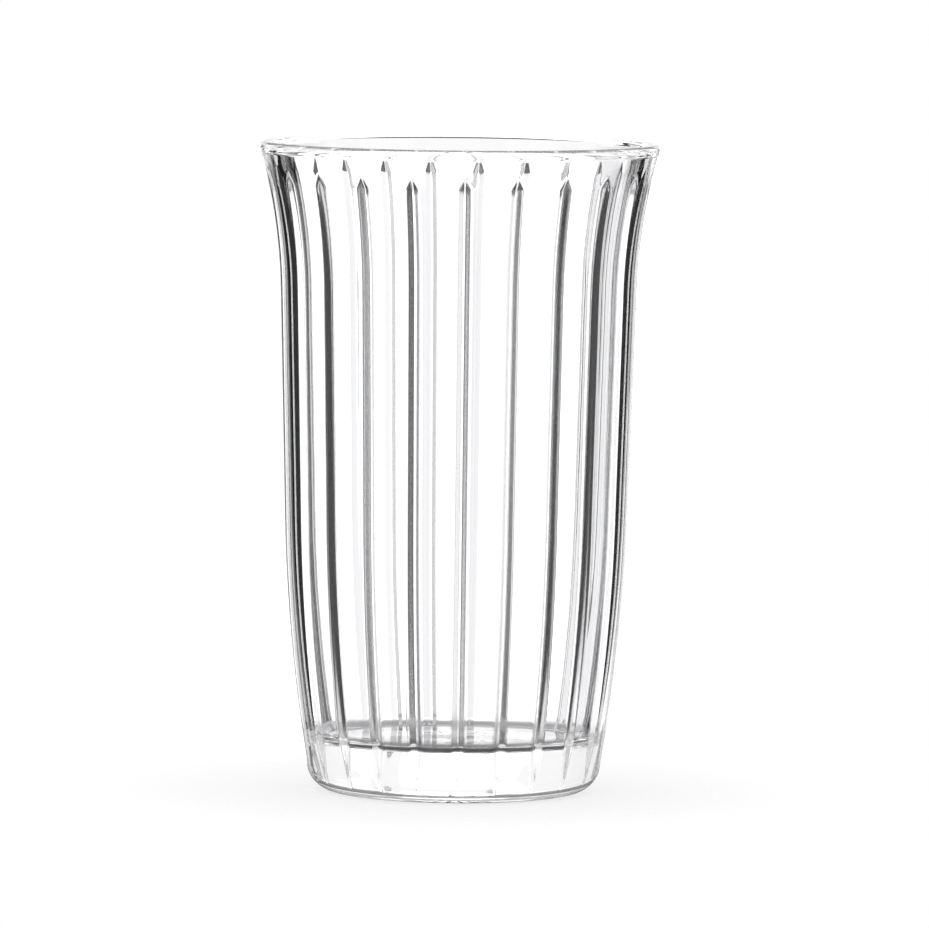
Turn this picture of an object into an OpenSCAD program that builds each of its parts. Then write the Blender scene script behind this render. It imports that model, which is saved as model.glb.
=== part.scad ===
// Straight tall water glass of clear pressed glass, with a flared rim, a heavy solid foot
// and upright V-shaped flutes cut round the outside. Millimetres, +Z up, origin on the
// table at the middle of the foot.

/* [Outside] */
// Height from the table to the top of the rim
glass_h = 134.6; // [125:0.1:145]
// Outer radius where the side would meet the table if the heel were square
foot_r = 29.5; // [28.5:0.1:31]
// Height at which the bowed lower side becomes straight
waist_z = 57; // [50:0.5:65]
// Outer radius at that height
waist_r = 35.7; // [34.6:0.1:36.3]
// Height at which the straight side starts to flare
neck_z = 104.5; // [98:0.5:110]
// Outer radius at that height
neck_r = 37; // [36.5:0.1:38]
// Outer radius at the top of the rim if its edge were square
rim_r = 41.9; // [40.5:0.1:43.5]

/* [Glass thickness] */
// Wall along the straight side
side_wall = 3.9; // [3.3:0.1:4.4]
// Wall across the top of the rim
rim_wall = 3.6; // [3.2:0.1:4.2]
// Wall where the inside would meet the drinking floor if the corner were square
foot_wall = 4.1; // [3.5:0.1:4.8]
// Solid glass under the drinking floor
floor_t = 10.8; // [8:0.1:14]

/* [Rounded edges] */
// Rounding of the heel
heel_round = 6; // [4:0.1:7]
// Rounding between the drinking floor and the wall
corner_round = 3.2; // [2:0.1:5]
// Rounding of the rim on the outside
rim_round_out = 1.2; // [0.8:0.1:1.5]
// Rounding of the rim on the inside
rim_round_in = 1.6; // [1:0.1:1.9]

/* [Hollow under the foot] */
// Radius of the hollow
hollow_r = 20; // [15:0.5:22]
// Depth of the hollow in the middle
hollow_depth = 0.8; // [0.3:0.1:2]

/* [Flutes] */
// Number of flutes round the glass
flute_count = 23; // [12:1:28]
// Width of a flute at the surface
flute_w = 2.5; // [1.8:0.05:2.9]
// Depth of a flute at the middle
flute_depth = 1.1; // [0.6:0.05:1.3]
// Height at which the flutes run out at the bottom
flute_foot_z = 3.4; // [3:0.1:10]
// Height at which the flutes run out at the top
flute_top_z = 128.8; // [120:0.1:130]
// Length over which a flute gets shallow at the bottom
flute_foot_run = 7; // [3:0.1:12]
// Length over which a flute gets shallow at the top
flute_top_run = 2.4; // [1.5:0.1:6]
// Turn of the first flute away from the front, in degrees
flute_turn = 1.6; // [-7:0.1:7]

/* [Hidden] */
// Cuts run past the surface that they open by this much
overrun = 1;
// Straight steps that make up a rounded edge, each curved stretch of a side, and the bottom of a
// flute, whose steps fall between those of the side
edge_steps = 10;
side_steps = 8;
flute_steps = 19;

// A side is the outline of the glass from the table to the rim, given by four radii: at the
// table or floor, at the waist, at the neck and at the rim
outside = [foot_r, waist_r, neck_r, rim_r];
cavity = [foot_r - foot_wall, waist_r - side_wall, neck_r - side_wall, rim_r - rim_wall];

// Lean of the straight part of a side away from upright
function lean(side) = atan((side[2] - side[1]) / (neck_z - waist_z));
// How far a point lies outside the line of the straight part, and how far along it from the joint
function off_line(side, r, z, joint_r, joint_z) =
    (r - joint_r) * cos(lean(side)) - (z - joint_z) * sin(lean(side));
function along_line(side, r, z, joint_r, joint_z) =
    (r - joint_r) * sin(lean(side)) + (z - joint_z) * cos(lean(side));
// Radius of the arc that leaves the straight part at the joint and passes through the point
function arc_r(off, along) = (off * off + along * along) / (2 * abs(off));
// The lower bow, from the waist down to the table: its radius and centre
function bow_r(side) = arc_r(off_line(side, side[0], 0, side[1], waist_z),
                             along_line(side, side[0], 0, side[1], waist_z));
function bow_centre(side) =
    [side[1] - bow_r(side) * cos(lean(side)), waist_z + bow_r(side) * sin(lean(side))];
// The flare, from the neck up to the rim: its radius and centre
function flare_r(side) = arc_r(off_line(side, side[3], glass_h, side[2], neck_z),
                               along_line(side, side[3], glass_h, side[2], neck_z));
function flare_centre(side) =
    [side[2] + flare_r(side) * cos(lean(side)), neck_z - flare_r(side) * sin(lean(side))];
// The other leg of a right triangle
function leg(long, short) = sqrt(long * long - short * short);
// Radius of a side at height z
function side_r(side, z) =
    z < waist_z ? bow_centre(side)[0] + leg(bow_r(side), z - bow_centre(side)[1])
    : z < neck_z ? side[1] + (z - waist_z) * tan(lean(side))
    : flare_centre(side)[0] - leg(flare_r(side), z - flare_centre(side)[1]);
// Points of a side between two heights, in even steps
function even_line(side, low, high, steps) =
    [for (i = [0 : steps]) let (z = low + (high - low) * i / steps) [side_r(side, z), z]];
// Points of a whole side: the bow and the flare in even steps, the straight part in one
function side_line(side, low, high) = concat(even_line(side, low, waist_z, side_steps),
                                             even_line(side, neck_z, high, side_steps));

// Points along an arc between two angles
function arc_line(centre, radius, from, to) = [
    for (i = [0 : edge_steps]) let (a = from + (to - from) * i / edge_steps)
        centre + radius * [cos(a), sin(a)]
];
// Direction from one point to another, as an angle from the radial line
function direction(from, to) = atan2(to[1] - from[1], to[0] - from[0]);
// The same points from the last to the first
function reversed(points) = [for (i = [1 : len(points)]) points[len(points) - i]];

// Centre of the rounding between a level floor at height z and the bow of a side
function foot_corner(side, z, round) =
    [bow_centre(side)[0] + leg(bow_r(side) - round, z + round - bow_centre(side)[1]), z + round];
heel = foot_corner(outside, 0, heel_round);
floor_corner = foot_corner(cavity, floor_t, corner_round);
// Directions in which these roundings touch the bow
heel_turn = direction(bow_centre(outside), heel);
corner_turn = direction(bow_centre(cavity), floor_corner);
heel_top = heel[1] + heel_round * sin(heel_turn);
corner_top = floor_corner[1] + corner_round * sin(corner_turn);
// Radius of the outside at height z, with the heel rounded
function outer_r(z) = z < heel_top ? heel[0] + leg(heel_round, heel[1] - z) : side_r(outside, z);

// Centres of the two roundings of the rim
rim_out = [flare_centre(outside)[0]
               - leg(flare_r(outside) + rim_round_out, glass_h - rim_round_out - flare_centre(outside)[1]),
           glass_h - rim_round_out];
rim_in = [flare_centre(cavity)[0]
              - leg(flare_r(cavity) - rim_round_in, glass_h - rim_round_in - flare_centre(cavity)[1]),
          glass_h - rim_round_in];
// Directions in which these roundings touch the flares
rim_out_turn = direction(rim_out, flare_centre(outside));
rim_in_turn = direction(flare_centre(cavity), rim_in);
rim_out_low = rim_out[1] + rim_round_out * sin(rim_out_turn);
rim_in_low = rim_in[1] + rim_round_in * sin(rim_in_turn);

// The hollow is part of a ball of this radius
hollow_ball_r = (hollow_r * hollow_r + hollow_depth * hollow_depth) / (2 * hollow_depth);
hollow_centre = [0, hollow_depth - hollow_ball_r];

// A flute is a V whose two faces lean this much from the tangent of the glass
flute_lean = atan(flute_depth / (flute_w / 2));
// The line along the bottom of the flutes, as a side
flute_line = [for (r = outside) r - flute_depth];
// Where a flute runs out at the surface, and where it has its full depth
flute_ends = [[outer_r(flute_foot_z), flute_foot_z], [outer_r(flute_top_z), flute_top_z]];
flute_roots = [for (z = [flute_foot_z + flute_foot_run, flute_top_z - flute_top_run])
               [side_r(flute_line, z), z]];

// Half of the glass cut down the middle, before the flutes are cut
module glass_section() {
    polygon(concat(
        // up round the outside, from the hollow under the foot
        arc_line(hollow_centre, hollow_ball_r, 90, direction(hollow_centre, [hollow_r, 0])),
        arc_line(heel, heel_round, -90, heel_turn),
        side_line(outside, heel_top, rim_out_low),
        // over the rim
        arc_line(rim_out, rim_round_out, rim_out_turn, 90),
        arc_line(rim_in, rim_round_in, 90, rim_in_turn),
        // down the inside to the drinking floor
        reversed(side_line(cavity, corner_top, rim_in_low)),
        arc_line(floor_corner, corner_round, corner_turn, -90),
        [[0, floor_t]]
    ));
}

// The outline of a flute and of the air outside it, square to one of its two faces, where every
// radius is shorter by the lean of the face
module flute_face_cut() {
    across = cos(flute_lean);
    root_line = even_line(flute_line, flute_roots[0][1], flute_roots[1][1], flute_steps);
    outward = 2 * flute_ends - flute_roots;
    clear_line = [for (p = root_line) p + [flute_depth + overrun, 0]];
    polygon([for (p = concat([outward[0]], root_line, [outward[1]], reversed(clear_line)))
             [p[0] * across, p[1]]]);
}

// The cut carried along one face, turned by the lean of that face
module flute_half(lean) {
    rotate([0, 0, lean]) rotate([90, 0, 0])
        linear_extrude(height = 2 * rim_r, center = true) flute_face_cut();
}

// One flute, along +X
module flute() {
    intersection() {
        flute_half(flute_lean);
        flute_half(-flute_lean);
    }
}

module tumbler() {
    front = -90;
    color([0.86, 0.9, 0.9, 0.45]) difference() {
        rotate_extrude($fn = 240) glass_section();
        for (i = [0 : flute_count - 1])
            rotate([0, 0, front + flute_turn + i * 360 / flute_count]) flute();
    }
}

tumbler();
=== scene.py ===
import math

import bpy
from mathutils import Matrix, Vector


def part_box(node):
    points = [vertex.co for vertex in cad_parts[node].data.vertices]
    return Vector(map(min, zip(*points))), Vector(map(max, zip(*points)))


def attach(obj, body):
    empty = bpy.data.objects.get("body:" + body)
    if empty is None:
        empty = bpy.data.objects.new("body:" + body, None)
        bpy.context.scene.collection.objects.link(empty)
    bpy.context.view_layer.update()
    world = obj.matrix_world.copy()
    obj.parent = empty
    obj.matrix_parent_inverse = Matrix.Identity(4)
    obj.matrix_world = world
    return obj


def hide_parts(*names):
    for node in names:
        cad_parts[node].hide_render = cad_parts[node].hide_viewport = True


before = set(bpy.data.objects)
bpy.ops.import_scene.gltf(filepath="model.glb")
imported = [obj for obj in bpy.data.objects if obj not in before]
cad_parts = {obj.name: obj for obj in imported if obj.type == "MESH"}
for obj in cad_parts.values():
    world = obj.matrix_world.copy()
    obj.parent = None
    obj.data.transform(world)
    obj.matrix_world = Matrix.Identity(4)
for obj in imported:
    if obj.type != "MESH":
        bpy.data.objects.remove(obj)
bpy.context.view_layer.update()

# Camera. The photograph is taken from far away with a long lens, a little above the rim. The
# camera is turned until the middle of the glass falls on the same pixel as there, and rolled
# by a little, because the rim and the foot both lean there.
mm = 0.001
photo_w, photo_h = 929, 928
sensor_w = 36.0
focal_px = 9235
camera_distance = 1909 * mm
camera_height = 214 * mm
camera_roll = math.radians(0.62)
aim_px = (456.6, 467.0)

glass_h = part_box("tumbler")[1].z
aim_point = Vector((0, 0, glass_h / 2))

camera_data = bpy.data.cameras.new("camera")
camera_data.sensor_width = sensor_w
camera_data.lens = focal_px / photo_w * sensor_w
camera_data.clip_end = 20
camera = bpy.data.objects.new("camera", camera_data)
bpy.context.collection.objects.link(camera)
camera.location = (0, -camera_distance, camera_height)
towards = (aim_point - camera.location).to_track_quat("-Z", "Y").to_matrix()
turn_left = math.atan((photo_w / 2 - aim_px[0]) / focal_px)
turn_up = math.atan((aim_px[1] - photo_h / 2) / focal_px)
aimed = towards @ Matrix.Rotation(-turn_left, 3, "Y") @ Matrix.Rotation(turn_up, 3, "X")
camera.rotation_euler = (aimed @ Matrix.Rotation(camera_roll, 3, "Z")).to_euler()
bpy.context.scene.camera = camera

scene = bpy.context.scene
scene.view_settings.view_transform = "Standard"
# light is thrown to and fro inside a thick glass wall many times before it comes out
light_turns = 64
scene.cycles.max_bounces = light_turns
scene.cycles.transmission_bounces = light_turns
scene.cycles.glossy_bounces = light_turns


# Tumbler. The glass is one piece of clear soda-lime glass, pressed in a mould and fire
# polished at the rim. The mould leaves upright V-shaped flutes with soft edges all round the
# outside, and a hair-fine seam just below the rim, where the rim ring met the mould.
foot_r = 29.5 * mm
waist_z = 57 * mm
waist_r = 35.7 * mm
neck_z = 104.5 * mm
neck_r = 37 * mm
rim_r = 41.9 * mm
foot_wall = 4.1 * mm
side_wall = 3.9 * mm
rim_wall = 3.6 * mm
floor_t = 10.8 * mm
heel_round = 6 * mm
corner_round = 3.2 * mm
rim_round_out = 1.2 * mm
rim_round_in = 1.6 * mm
hollow_r = 20 * mm
hollow_depth = 0.8 * mm

flute_count = 23
flute_w = 2.5 * mm
flute_depth = 1.1 * mm
flute_foot_z = 3.4 * mm
flute_top_z = 128.8 * mm
flute_foot_run = 7 * mm
flute_top_run = 2.4 * mm
flute_turn = math.radians(1.6)
root_soft = 0.1 * mm
shoulder_soft = 0.15 * mm

seam_below_rim = 2.1 * mm
seam_high = 0.05 * mm
seam_wide = 0.16 * mm

# steps that make up each stretch of the half section
hollow_steps = 6
heel_steps = 16
edge_steps = 8
bow_steps = 12
curve_steps = 10
straight_steps = 8
straight_steps_inside = 6
floor_shares = (0.7, 0.35, 0)

# the points round the glass stand in columns, and the close ones of a flute reach this share of
# half its width
columns_per_flute = 24
close_columns = 7
close_share = 1.4
# the angle that a flute takes up is never worked out for a smaller radius than this
axis_r = 10 * mm
# share of the depth from which a point counts fully as part of a flute
mark_share = 0.3
# points that are closer than this become one
merge_distance = 0.002 * mm


class Side:
    """One side of the wall seen in half section: a bow, a straight part and a flare."""

    def __init__(self, at_table, at_waist, at_neck, at_rim):
        self.waist = at_waist
        self.slope = (at_neck - at_waist) / (neck_z - waist_z)
        lean = math.atan(self.slope)
        across = Vector((math.cos(lean), -math.sin(lean)))
        waist_point = Vector((at_waist, waist_z))
        neck_point = Vector((at_neck, neck_z))
        table_off = Vector((at_table, 0)) - waist_point
        rim_off = Vector((at_rim, glass_h)) - neck_point
        self.bow_r = table_off.length_squared / (2 * abs(table_off.dot(across)))
        self.flare_r = rim_off.length_squared / (2 * abs(rim_off.dot(across)))
        self.bow_centre = waist_point - across * self.bow_r
        self.flare_centre = neck_point + across * self.flare_r

    def radius(self, z):
        """Distance of this side from the axis at height z."""
        if z < waist_z:
            return self.bow_centre.x + math.sqrt(self.bow_r**2 - (z - self.bow_centre.y) ** 2)
        if z < neck_z:
            return self.waist + (z - waist_z) * self.slope
        return self.flare_centre.x - math.sqrt(self.flare_r**2 - (z - self.flare_centre.y) ** 2)

    def foot_corner(self, z, rounding):
        """Centre of the rounding between a level floor at height z and the bow."""
        up = z + rounding - self.bow_centre.y
        return Vector((self.bow_centre.x + math.sqrt((self.bow_r - rounding) ** 2 - up**2), z + rounding))

    def rim_corner(self, rounding, outwards):
        """Centre of the rounding between the top of the rim and the flare."""
        up = glass_h - rounding - self.flare_centre.y
        reach = self.flare_r + outwards * rounding
        return Vector((self.flare_centre.x - math.sqrt(reach**2 - up**2), glass_h - rounding))


def heading(start, end):
    """Angle of the line from one point to another."""
    return math.atan2(end.y - start.y, end.x - start.x)


def arc(centre, radius, first, last, steps):
    """Points along an arc between two angles."""
    angles = [first + (last - first) * i / steps for i in range(steps + 1)]
    return [centre + radius * Vector((math.cos(a), math.sin(a))) for a in angles]


def climb(side, low, high, steps):
    """Points of a side between two heights, in even steps."""
    heights = [low + (high - low) * i / steps for i in range(steps + 1)]
    return [Vector((side.radius(z), z)) for z in heights]


def half_section():
    """Points of the outside from the foot up to the rim, and of the inside down to the floor."""
    outside = Side(foot_r, waist_r, neck_r, rim_r)
    cavity = Side(foot_r - foot_wall, waist_r - side_wall, neck_r - side_wall, rim_r - rim_wall)
    ball_r = (hollow_r**2 + hollow_depth**2) / (2 * hollow_depth)
    ball_centre = Vector((0, hollow_depth - ball_r))
    heel = outside.foot_corner(0, heel_round)
    heel_end = heading(outside.bow_centre, heel)
    heel_top = heel.y + heel_round * math.sin(heel_end)
    corner = cavity.foot_corner(floor_t, corner_round)
    corner_end = heading(cavity.bow_centre, corner)
    corner_top = corner.y + corner_round * math.sin(corner_end)
    lip_out = outside.rim_corner(rim_round_out, 1)
    lip_in = cavity.rim_corner(rim_round_in, -1)
    lip_out_start = heading(lip_out, outside.flare_centre)
    lip_in_end = heading(cavity.flare_centre, lip_in)
    lip_low = lip_out.y + rim_round_out * math.sin(lip_out_start)
    lip_in_low = lip_in.y + rim_round_in * math.sin(lip_in_end)
    foot_full = flute_foot_z + flute_foot_run
    top_full = flute_top_z - flute_top_run
    past_top = flute_top_z + flute_top_run / 4
    seam_z = glass_h - seam_below_rim
    seam = climb(outside, seam_z - 2 * seam_wide, seam_z + 2 * seam_wide, edge_steps)
    for point in seam:
        point.x += seam_high * math.exp(-(((point.y - seam_z) / seam_wide) ** 2))
    hollow_end = heading(ball_centre, Vector((hollow_r, 0)))
    under = arc(ball_centre, ball_r, math.pi / 2, hollow_end, hollow_steps)
    outer = (
        arc(heel, heel_round, -math.pi / 2, heel_end, heel_steps)
        + climb(outside, heel_top, foot_full, curve_steps)[1:]
        + climb(outside, foot_full, waist_z, bow_steps)[1:]
        + climb(outside, waist_z, neck_z, straight_steps)[1:]
        + climb(outside, neck_z, top_full, curve_steps)[1:]
        + climb(outside, top_full, past_top, curve_steps)[1:]
        + seam
        + [Vector((outside.radius(lip_low), lip_low))]
    )
    lip = (
        arc(lip_out, rim_round_out, lip_out_start, math.pi / 2, edge_steps)[1:]
        + arc(lip_in, rim_round_in, math.pi / 2, lip_in_end, edge_steps)
    )
    inner = (
        climb(cavity, neck_z, lip_in_low, curve_steps)[::-1][1:]
        + climb(cavity, waist_z, neck_z, straight_steps_inside)[::-1][1:]
        + climb(cavity, corner_top, waist_z, curve_steps)[::-1][1:]
        + arc(corner, corner_round, corner_end, -math.pi / 2, edge_steps)[1:]
    )
    to_middle = [Vector((corner.x * share, floor_t)) for share in floor_shares]
    return under, outer, lip + inner + to_middle


class Wire:
    """A node socket that Python arithmetic works on, in a geometry or a shader tree."""

    def __init__(self, tree, socket=None):
        self.tree = tree
        self.socket = socket

    def node(self, kind, settings=None, inputs=None, out=0):
        """Adds a node: its settings first, then the values or links of its sockets."""
        made = self.tree.nodes.new(kind)
        for name, value in (settings or {}).items():
            setattr(made, name, value)
        for name, value in (inputs or {}).items():
            if isinstance(value, Wire):
                self.tree.links.new(value.socket, made.inputs[name])
            else:
                made.inputs[name].default_value = value
        return Wire(self.tree, made.outputs[out])

    def other(self, name):
        """Another output of the node that this wire comes from."""
        return Wire(self.tree, self.socket.node.outputs[name])

    def math(self, operation, *values):
        return self.node("ShaderNodeMath", {"operation": operation}, dict(enumerate(values)))

    def __add__(self, other):
        return self.math("ADD", self, other)

    def __radd__(self, other):
        return self.math("ADD", other, self)

    def __sub__(self, other):
        return self.math("SUBTRACT", self, other)

    def __rsub__(self, other):
        return self.math("SUBTRACT", other, self)

    def __mul__(self, other):
        return self.math("MULTIPLY", self, other)

    def __rmul__(self, other):
        return self.math("MULTIPLY", other, self)

    def __truediv__(self, other):
        return self.math("DIVIDE", self, other)

    def __rtruediv__(self, other):
        return self.math("DIVIDE", other, self)


def lathe_tree(name, columns, rows):
    """Turns the half section round and presses the flutes into its outer points."""
    tree = bpy.data.node_groups.new(name, "GeometryNodeTree")
    face = tree.interface
    face.new_socket("Half section", in_out="INPUT", socket_type="NodeSocketGeometry")
    for label in ("Flutes", "Flute turn", "Flute width", "Flute depth", "Foot end", "Foot run",
                  "Top end", "Top run", "Root softness", "Shoulder softness"):
        face.new_socket(label, in_out="INPUT", socket_type="NodeSocketFloat")
    face.new_socket("Glass", in_out="INPUT", socket_type="NodeSocketMaterial")
    face.new_socket("Tumbler", in_out="OUTPUT", socket_type="NodeSocketGeometry")
    start = Wire(tree)
    given = tree.nodes.new("NodeGroupInput")

    def value(label):
        return Wire(tree, given.outputs[label])

    grid = start.node("GeometryNodeMeshGrid", inputs={"Vertices X": rows, "Vertices Y": columns + 1})
    index = start.node("GeometryNodeInputIndex")
    row = start.math("FLOOR", (index + 0.5) / (columns + 1))
    column = index - row * (columns + 1)

    def sampled(kind, source):
        return start.node("GeometryNodeSampleIndex", {"data_type": kind},
                          {"Geometry": value("Half section"), "Value": source, "Index": row})

    place = sampled("FLOAT_VECTOR", start.node("GeometryNodeInputPosition"))
    radius = start.node("ShaderNodeSeparateXYZ", inputs={"Vector": place})
    height = radius.other("Z")
    fluted = sampled("FLOAT", start.node("GeometryNodeInputNamedAttribute", {"data_type": "FLOAT"},
                                         {"Name": "fluted"}))

    # columns stand close together across a flute and its shoulders, and wider apart between
    each = columns / flute_count
    step = column - each * start.math("FLOOR", (column + 0.25) / each)
    past_middle = start.math("GREATER_THAN", step, each / 2)
    near = step + past_middle * (each - 2 * step)
    side = 1 - 2 * past_middle
    half_pitch = math.pi / value("Flutes")
    half_angle = 0.5 * value("Flute width") / start.math("MAXIMUM", radius, axis_r)
    close = close_share * half_angle
    inside = start.math("MINIMUM", near, close_columns) / close_columns
    beyond = start.math("MAXIMUM", near - close_columns, 0) / (each / 2 - close_columns)
    offset = inside * close + beyond * (half_pitch - close)
    flute = start.math("FLOOR", (column + (each / 2 - 0.25)) / each)
    angle = value("Flute turn") + 2 * half_pitch * flute + side * offset

    # depth of the V at this point, with a soft bottom and soft shoulders
    depth = value("Flute depth")
    up_from_foot = (height - value("Foot end")) / value("Foot run")
    down_from_top = (value("Top end") - height) / value("Top run")
    ramp = start.math("MINIMUM", up_from_foot, down_from_top)
    full = depth * start.math("MINIMUM", ramp, 1)
    away = offset * radius
    soft_root = value("Root softness")
    rounded = start.math("SQRT", away * away + soft_root * soft_root)
    below = full - (rounded - soft_root) * depth / (0.5 * value("Flute width"))
    soft = value("Shoulder softness")
    cut = 0.5 * (below + start.math("SQRT", below * below + soft * soft)) * fluted

    cut_radius = radius - cut
    moved = start.node("ShaderNodeCombineXYZ", inputs={
        "X": cut_radius * start.math("COSINE", angle),
        "Y": cut_radius * start.math("SINE", angle),
        "Z": height,
    })
    mark = start.math("MINIMUM", cut / (mark_share * depth), 1)
    marked = start.node("GeometryNodeStoreNamedAttribute", {"data_type": "FLOAT", "domain": "POINT"},
                        {"Geometry": grid, "Name": "flute", "Value": mark})
    shaped = start.node("GeometryNodeSetPosition", inputs={"Geometry": marked, "Position": moved})
    closed = start.node("GeometryNodeMergeByDistance",
                        inputs={"Geometry": shaped, "Distance": merge_distance})
    outward = start.node("GeometryNodeFlipFaces", inputs={"Mesh": closed})
    smooth = start.node("GeometryNodeSetShadeSmooth", inputs={"Geometry": outward})
    real = start.node("GeometryNodeRealizeInstances", inputs={"Geometry": smooth})
    finished = start.node("GeometryNodeSetMaterial",
                          inputs={"Geometry": real, "Material": value("Glass")})
    tree.links.new(finished.socket, tree.nodes.new("NodeGroupOutput").inputs["Tumbler"])
    return tree


glass_tint = (0.988, 0.988, 0.996, 1)
glass_ior = 1.52
# the skin of pressed glass is faintly wavy, and less smooth in the flutes
wave_scale = 90.0
wave_detail = 1.0
wave_strength = 0.05
wave_height = 0.2 * mm
flute_roughness = 0.18


def glass_material():
    """Clear glass with faint waves in the skin, and a little roughness in the flutes."""
    material = bpy.data.materials.new("clear_pressed_glass")
    material.use_nodes = True
    tree = material.node_tree
    shader = tree.nodes["Principled BSDF"]
    shader.inputs["Base Color"].default_value = glass_tint
    shader.inputs["IOR"].default_value = glass_ior
    shader.inputs["Transmission Weight"].default_value = 1.0
    start = Wire(tree)
    where = start.node("ShaderNodeTexCoord", out="Object")
    waves = start.node("ShaderNodeTexNoise",
                       inputs={"Vector": where, "Scale": wave_scale, "Detail": wave_detail})
    bump = start.node("ShaderNodeBump", inputs={
        "Strength": wave_strength, "Distance": wave_height, "Height": waves})
    in_flute = start.node("ShaderNodeAttribute", {"attribute_name": "flute"}, out="Fac")
    skin = flute_roughness * in_flute
    tree.links.new(skin.socket, shader.inputs["Roughness"])
    tree.links.new(bump.socket, shader.inputs["Normal"])
    return material


under, outer, inner = half_section()
section = under + outer + inner
section_mesh = bpy.data.meshes.new("half_section")
section_mesh.from_pydata([(p.x, 0, p.y) for p in section], [], [])
fluted = section_mesh.attributes.new("fluted", "FLOAT", "POINT")
for i in range(len(section)):
    fluted.data[i].value = float(len(under) <= i < len(under) + len(outer))
blank = bpy.data.objects.new("half_section", section_mesh)
bpy.context.collection.objects.link(blank)

lathe = blank.modifiers.new("lathe", "NODES")
lathe.node_group = lathe_tree("press_tumbler", flute_count * columns_per_flute, len(section))
sockets = {item.name: item.identifier for item in lathe.node_group.interface.items_tree}
for label, size in {
    "Flutes": flute_count,
    "Flute turn": flute_turn - math.pi / 2,
    "Flute width": flute_w,
    "Flute depth": flute_depth,
    "Foot end": flute_foot_z,
    "Foot run": flute_foot_run,
    "Top end": flute_top_z,
    "Top run": flute_top_run,
    "Root softness": root_soft,
    "Shoulder softness": shoulder_soft,
}.items():
    lathe[sockets[label]] = float(size)
lathe[sockets["Glass"]] = glass_material()
evaluated = blank.evaluated_get(bpy.context.evaluated_depsgraph_get())
pressed = bpy.data.meshes.new_from_object(evaluated)
tumbler = bpy.data.objects.new("pressed_tumbler", pressed)
bpy.context.collection.objects.link(tumbler)
bpy.data.objects.remove(blank)

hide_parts("tumbler")
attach(tumbler, "root")


# Floor and light. A plain white table fades into a white backdrop. To rays that come through the
# glass the table is painted grey, with a painted shadow darkest under the middle of the foot. The
# glass itself sees a dark studio with white cards close behind it, greyer walls at its sides and
# behind the camera, and light from overhead and below, so that its panes are white and its flutes
# are grey and black.
floor_r = 75 * mm
floor_fade_r = 42 * mm
floor_sides = 96
floor_roughness = 0.6
# tone of the table to the camera, and how much of it shines by itself there
floor_tone = 0.98
floor_shine = 0.75
# tone of the table to the glass: a painted shadow, darkest under the middle of the foot and paler
# outwards to a grey table
painted_shadow_tone = 0.02
painted_shadow_r = 6 * mm
open_tone = 0.5
open_r = 60 * mm


def floor_material():
    material = bpy.data.materials.new("white_table")
    material.use_nodes = True
    tree = material.node_tree
    shader = tree.nodes["Principled BSDF"]
    shader.inputs["Roughness"].default_value = floor_roughness
    shader.inputs["Specular IOR Level"].default_value = 0.0
    start = Wire(tree)
    where = start.node("ShaderNodeTexCoord", out="Object")
    far = start.node("ShaderNodeVectorMath", {"operation": "LENGTH"}, {0: where}, out="Value")
    fade = start.node("ShaderNodeMapRange", {"interpolation_type": "SMOOTHSTEP"},
                      {"Value": far, "From Min": floor_fade_r, "From Max": floor_r})
    # painted shadow: to rays that come through the glass, the table darkens towards the middle of the
    # foot
    painted_shadow = start.node("ShaderNodeMapRange", inputs={
        "Value": far, "From Min": painted_shadow_r, "From Max": open_r, "To Min": painted_shadow_tone, "To Max": open_tone})
    direct = start.node("ShaderNodeLightPath", out="Is Camera Ray")
    tone = floor_tone * direct + (1 - direct) * painted_shadow
    tree.links.new(tone.socket, shader.inputs["Base Color"])
    clear = start.node("ShaderNodeBsdfTransparent")
    white = start.node("ShaderNodeEmission", inputs={"Color": (1, 1, 1, 1), "Strength": 1.0})
    bright = start.node("ShaderNodeMixShader", inputs={0: floor_shine * direct, 2: white})
    tree.links.new(shader.outputs["BSDF"], bright.socket.node.inputs[1])
    mixed = start.node("ShaderNodeMixShader", inputs={0: fade, 1: bright, 2: clear})
    tree.links.new(mixed.socket, tree.nodes["Material Output"].inputs["Surface"])
    return material


floor_mesh = bpy.data.meshes.new("floor")
edge_angles = [2 * math.pi * i / floor_sides for i in range(floor_sides)]
edge_points = [(floor_r * math.cos(a), floor_r * math.sin(a), 0) for a in edge_angles]
floor_mesh.from_pydata(edge_points, [], [tuple(range(floor_sides))])
floor_mesh.materials.append(floor_material())
floor = bpy.data.objects.new("floor", floor_mesh)
bpy.context.collection.objects.link(floor)

# what the glass sees of the studio: how bright each window of light is, from which angle to
# which it goes, and over how much more its edge fades. A turn is in degrees to either side,
# with 0 behind the glass and 180 behind the camera, and a height is the z of the direction.
white_level = 1.0
dark_level = 0.01
ahead_turn = (-10, 12, 4)
ahead_height = (-0.24, 0.2, 0.04)
beside_level = 0.8
beside_turn = (82, 100, 6)
corner_level = 0.9
corner_turn = (112, 148, 10)
camera_side_level = 0.7
camera_side_turn = (158, 190, 10)
overhead_level = 0.5
overhead_height = (0.6, 2, 0.2)
below_level = 0.9
below_height = (-2, -0.39, 0.05)

world = bpy.data.worlds.new("studio")
world.use_nodes = True
scene.world = world
start = Wire(world.node_tree)


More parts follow.
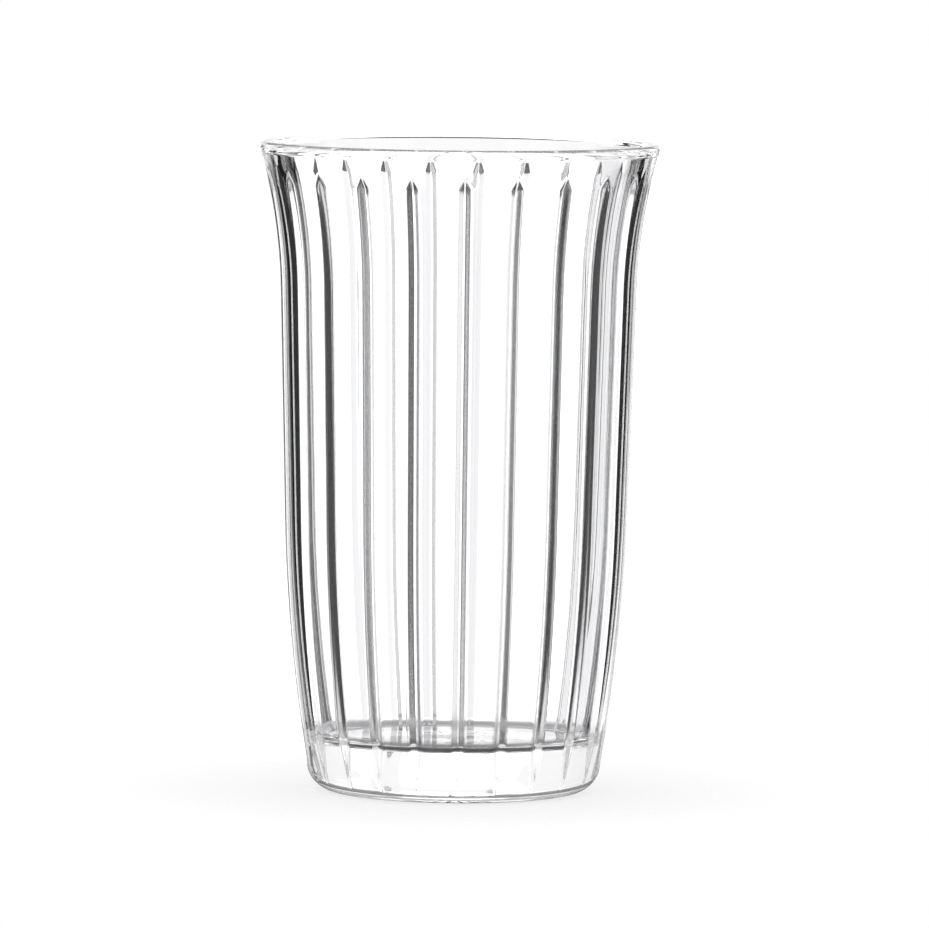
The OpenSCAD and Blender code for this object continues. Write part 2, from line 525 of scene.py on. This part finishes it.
def between(value, first, last, edge):
    """One between the two values, zero outside them, with a soft edge at each."""
    rise = start.node("ShaderNodeMapRange", {"interpolation_type": "SMOOTHSTEP"},
                      {"Value": value, "From Min": first - edge, "From Max": first})
    fall = start.node("ShaderNodeMapRange", {"interpolation_type": "SMOOTHSTEP"},
                      {"Value": value, "From Min": last, "From Max": last + edge})
    return rise * (1 - fall)


east = start.node("ShaderNodeSeparateXYZ", inputs={
    "Vector": start.node("ShaderNodeTexCoord", out="Generated")})
north = east.other("Y")
up = east.other("Z")
turn = start.math("ABSOLUTE", start.math("ARCTAN2", east, north)) / math.radians(1)
windows = [
    white_level * between(turn, *ahead_turn) * between(up, *ahead_height),
    beside_level * between(turn, *beside_turn),
    corner_level * between(turn, *corner_turn),
    camera_side_level * between(turn, *camera_side_turn),
    overhead_level * between(up, *overhead_height),
    below_level * between(up, *below_height),
]
seen_in_glass = dark_level
for window in windows:
    seen_in_glass = start.math("MAXIMUM", seen_in_glass, window)
paths = start.node("ShaderNodeLightPath", out="Is Transmission Ray")
by_glass = start.math("MAXIMUM", paths, paths.other("Is Glossy Ray"))
level = 1 - by_glass * (1 - seen_in_glass)
backdrop = world.node_tree.nodes["Background"]
backdrop.inputs["Color"].default_value = (1, 1, 1, 1)
world.node_tree.links.new(level.socket, backdrop.inputs["Strength"])

# the cards stand upright behind the glass, each from a left to a right edge
card_distance = 53 * mm
card_low = -15 * mm
card_high = 127 * mm
card_edges = {
    "card_behind": (-46 * mm, 35 * mm),
    "card_right": (44 * mm, 53 * mm),
    "card_far_right": (66 * mm, 74 * mm),
    "card_far_left": (-80 * mm, -72 * mm),
}


def white_card(name, left, right):
    """A card that shines white towards the glass and that only the glass sees."""
    light = bpy.data.lights.new(name, "AREA")
    light.shape = "RECTANGLE"
    light.size = right - left
    light.size_y = card_high - card_low
    light.energy = white_level * math.pi * light.size * light.size_y
    card = bpy.data.objects.new(name, light)
    bpy.context.collection.objects.link(card)
    card.location = ((left + right) / 2, card_distance, (card_low + card_high) / 2)
    card.rotation_euler = Vector((0, -1, 0)).to_track_quat("-Z", "Y").to_euler()
    card.visible_camera = False
    card.visible_diffuse = False


for name, (left, right) in card_edges.items():
    white_card(name, left, right)
